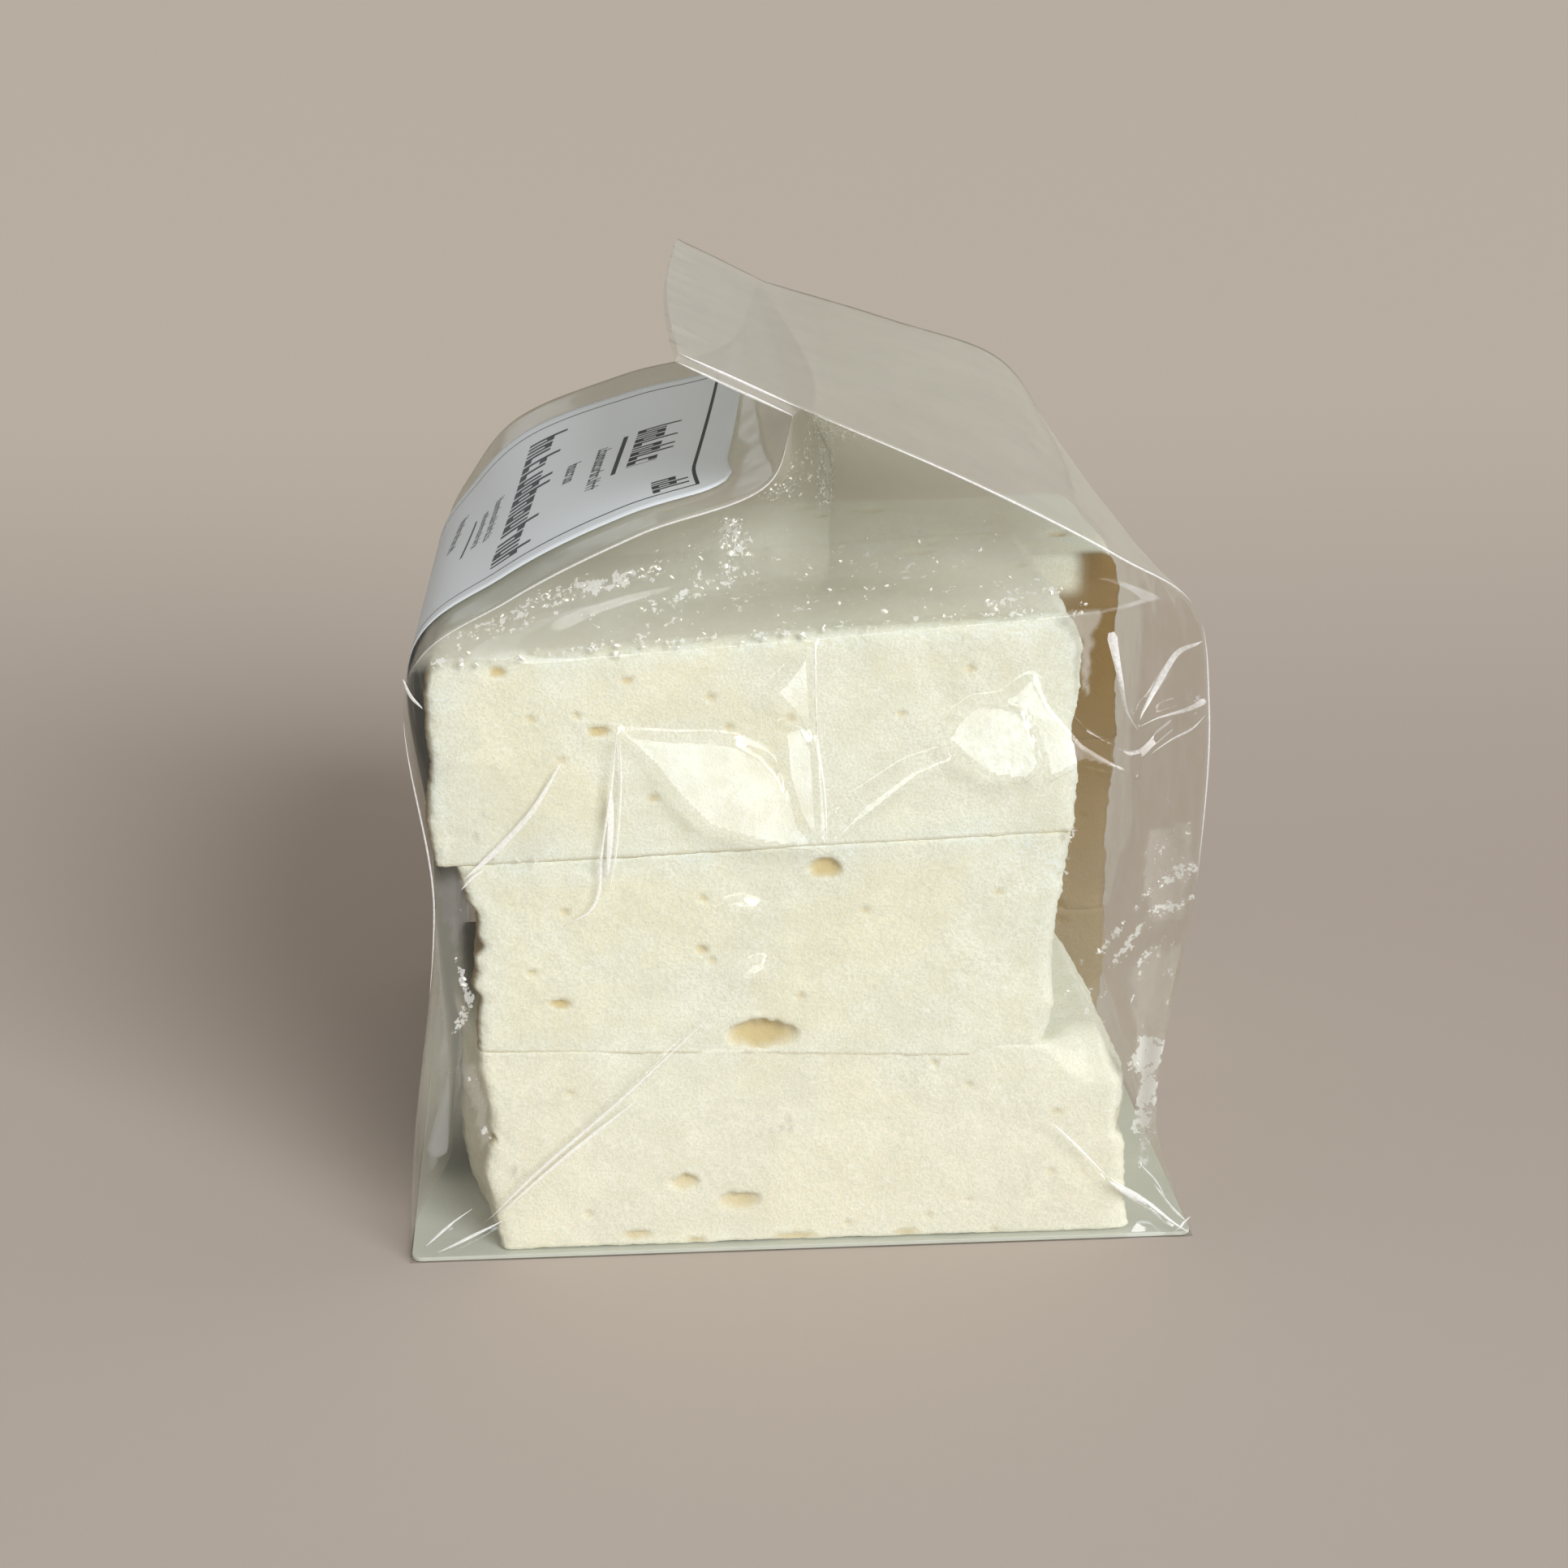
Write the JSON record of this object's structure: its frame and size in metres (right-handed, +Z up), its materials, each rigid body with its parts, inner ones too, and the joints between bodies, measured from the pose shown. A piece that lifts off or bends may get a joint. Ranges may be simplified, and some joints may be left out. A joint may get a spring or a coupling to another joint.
{
  "type": "sealed clear bag of marshmallow slabs",
  "caption": "Clear gusseted bag of stacked marshmallow slabs on a card base, with a sealed roof-like top, a flat fin and a large side label.",
  "frame": {"origin": "on the table, under the middle of the square base", "axes": "+X across the near gusset away from the labelled panel, +Y from the near gusset to the far one, +Z up"},
  "size_m": [0.0904, 0.0904, 0.104],
  "materials": {
    "film": "thin clear film with a high gloss, dusted with starch on the inside",
    "marshmallow": "matt cream foam with open pores and a starch bloom",
    "starch": "loose matt white powder and crumbs",
    "card": "smooth uncoated white card",
    "label_paper": "smooth white paper sticker with a slight sheen",
    "label_ink": "flat black print"
  },
  "bodies": {
    "root": {"base_card": "card", "bag": "film", "front_label": "label_paper"}
  },
  "joints": []
}
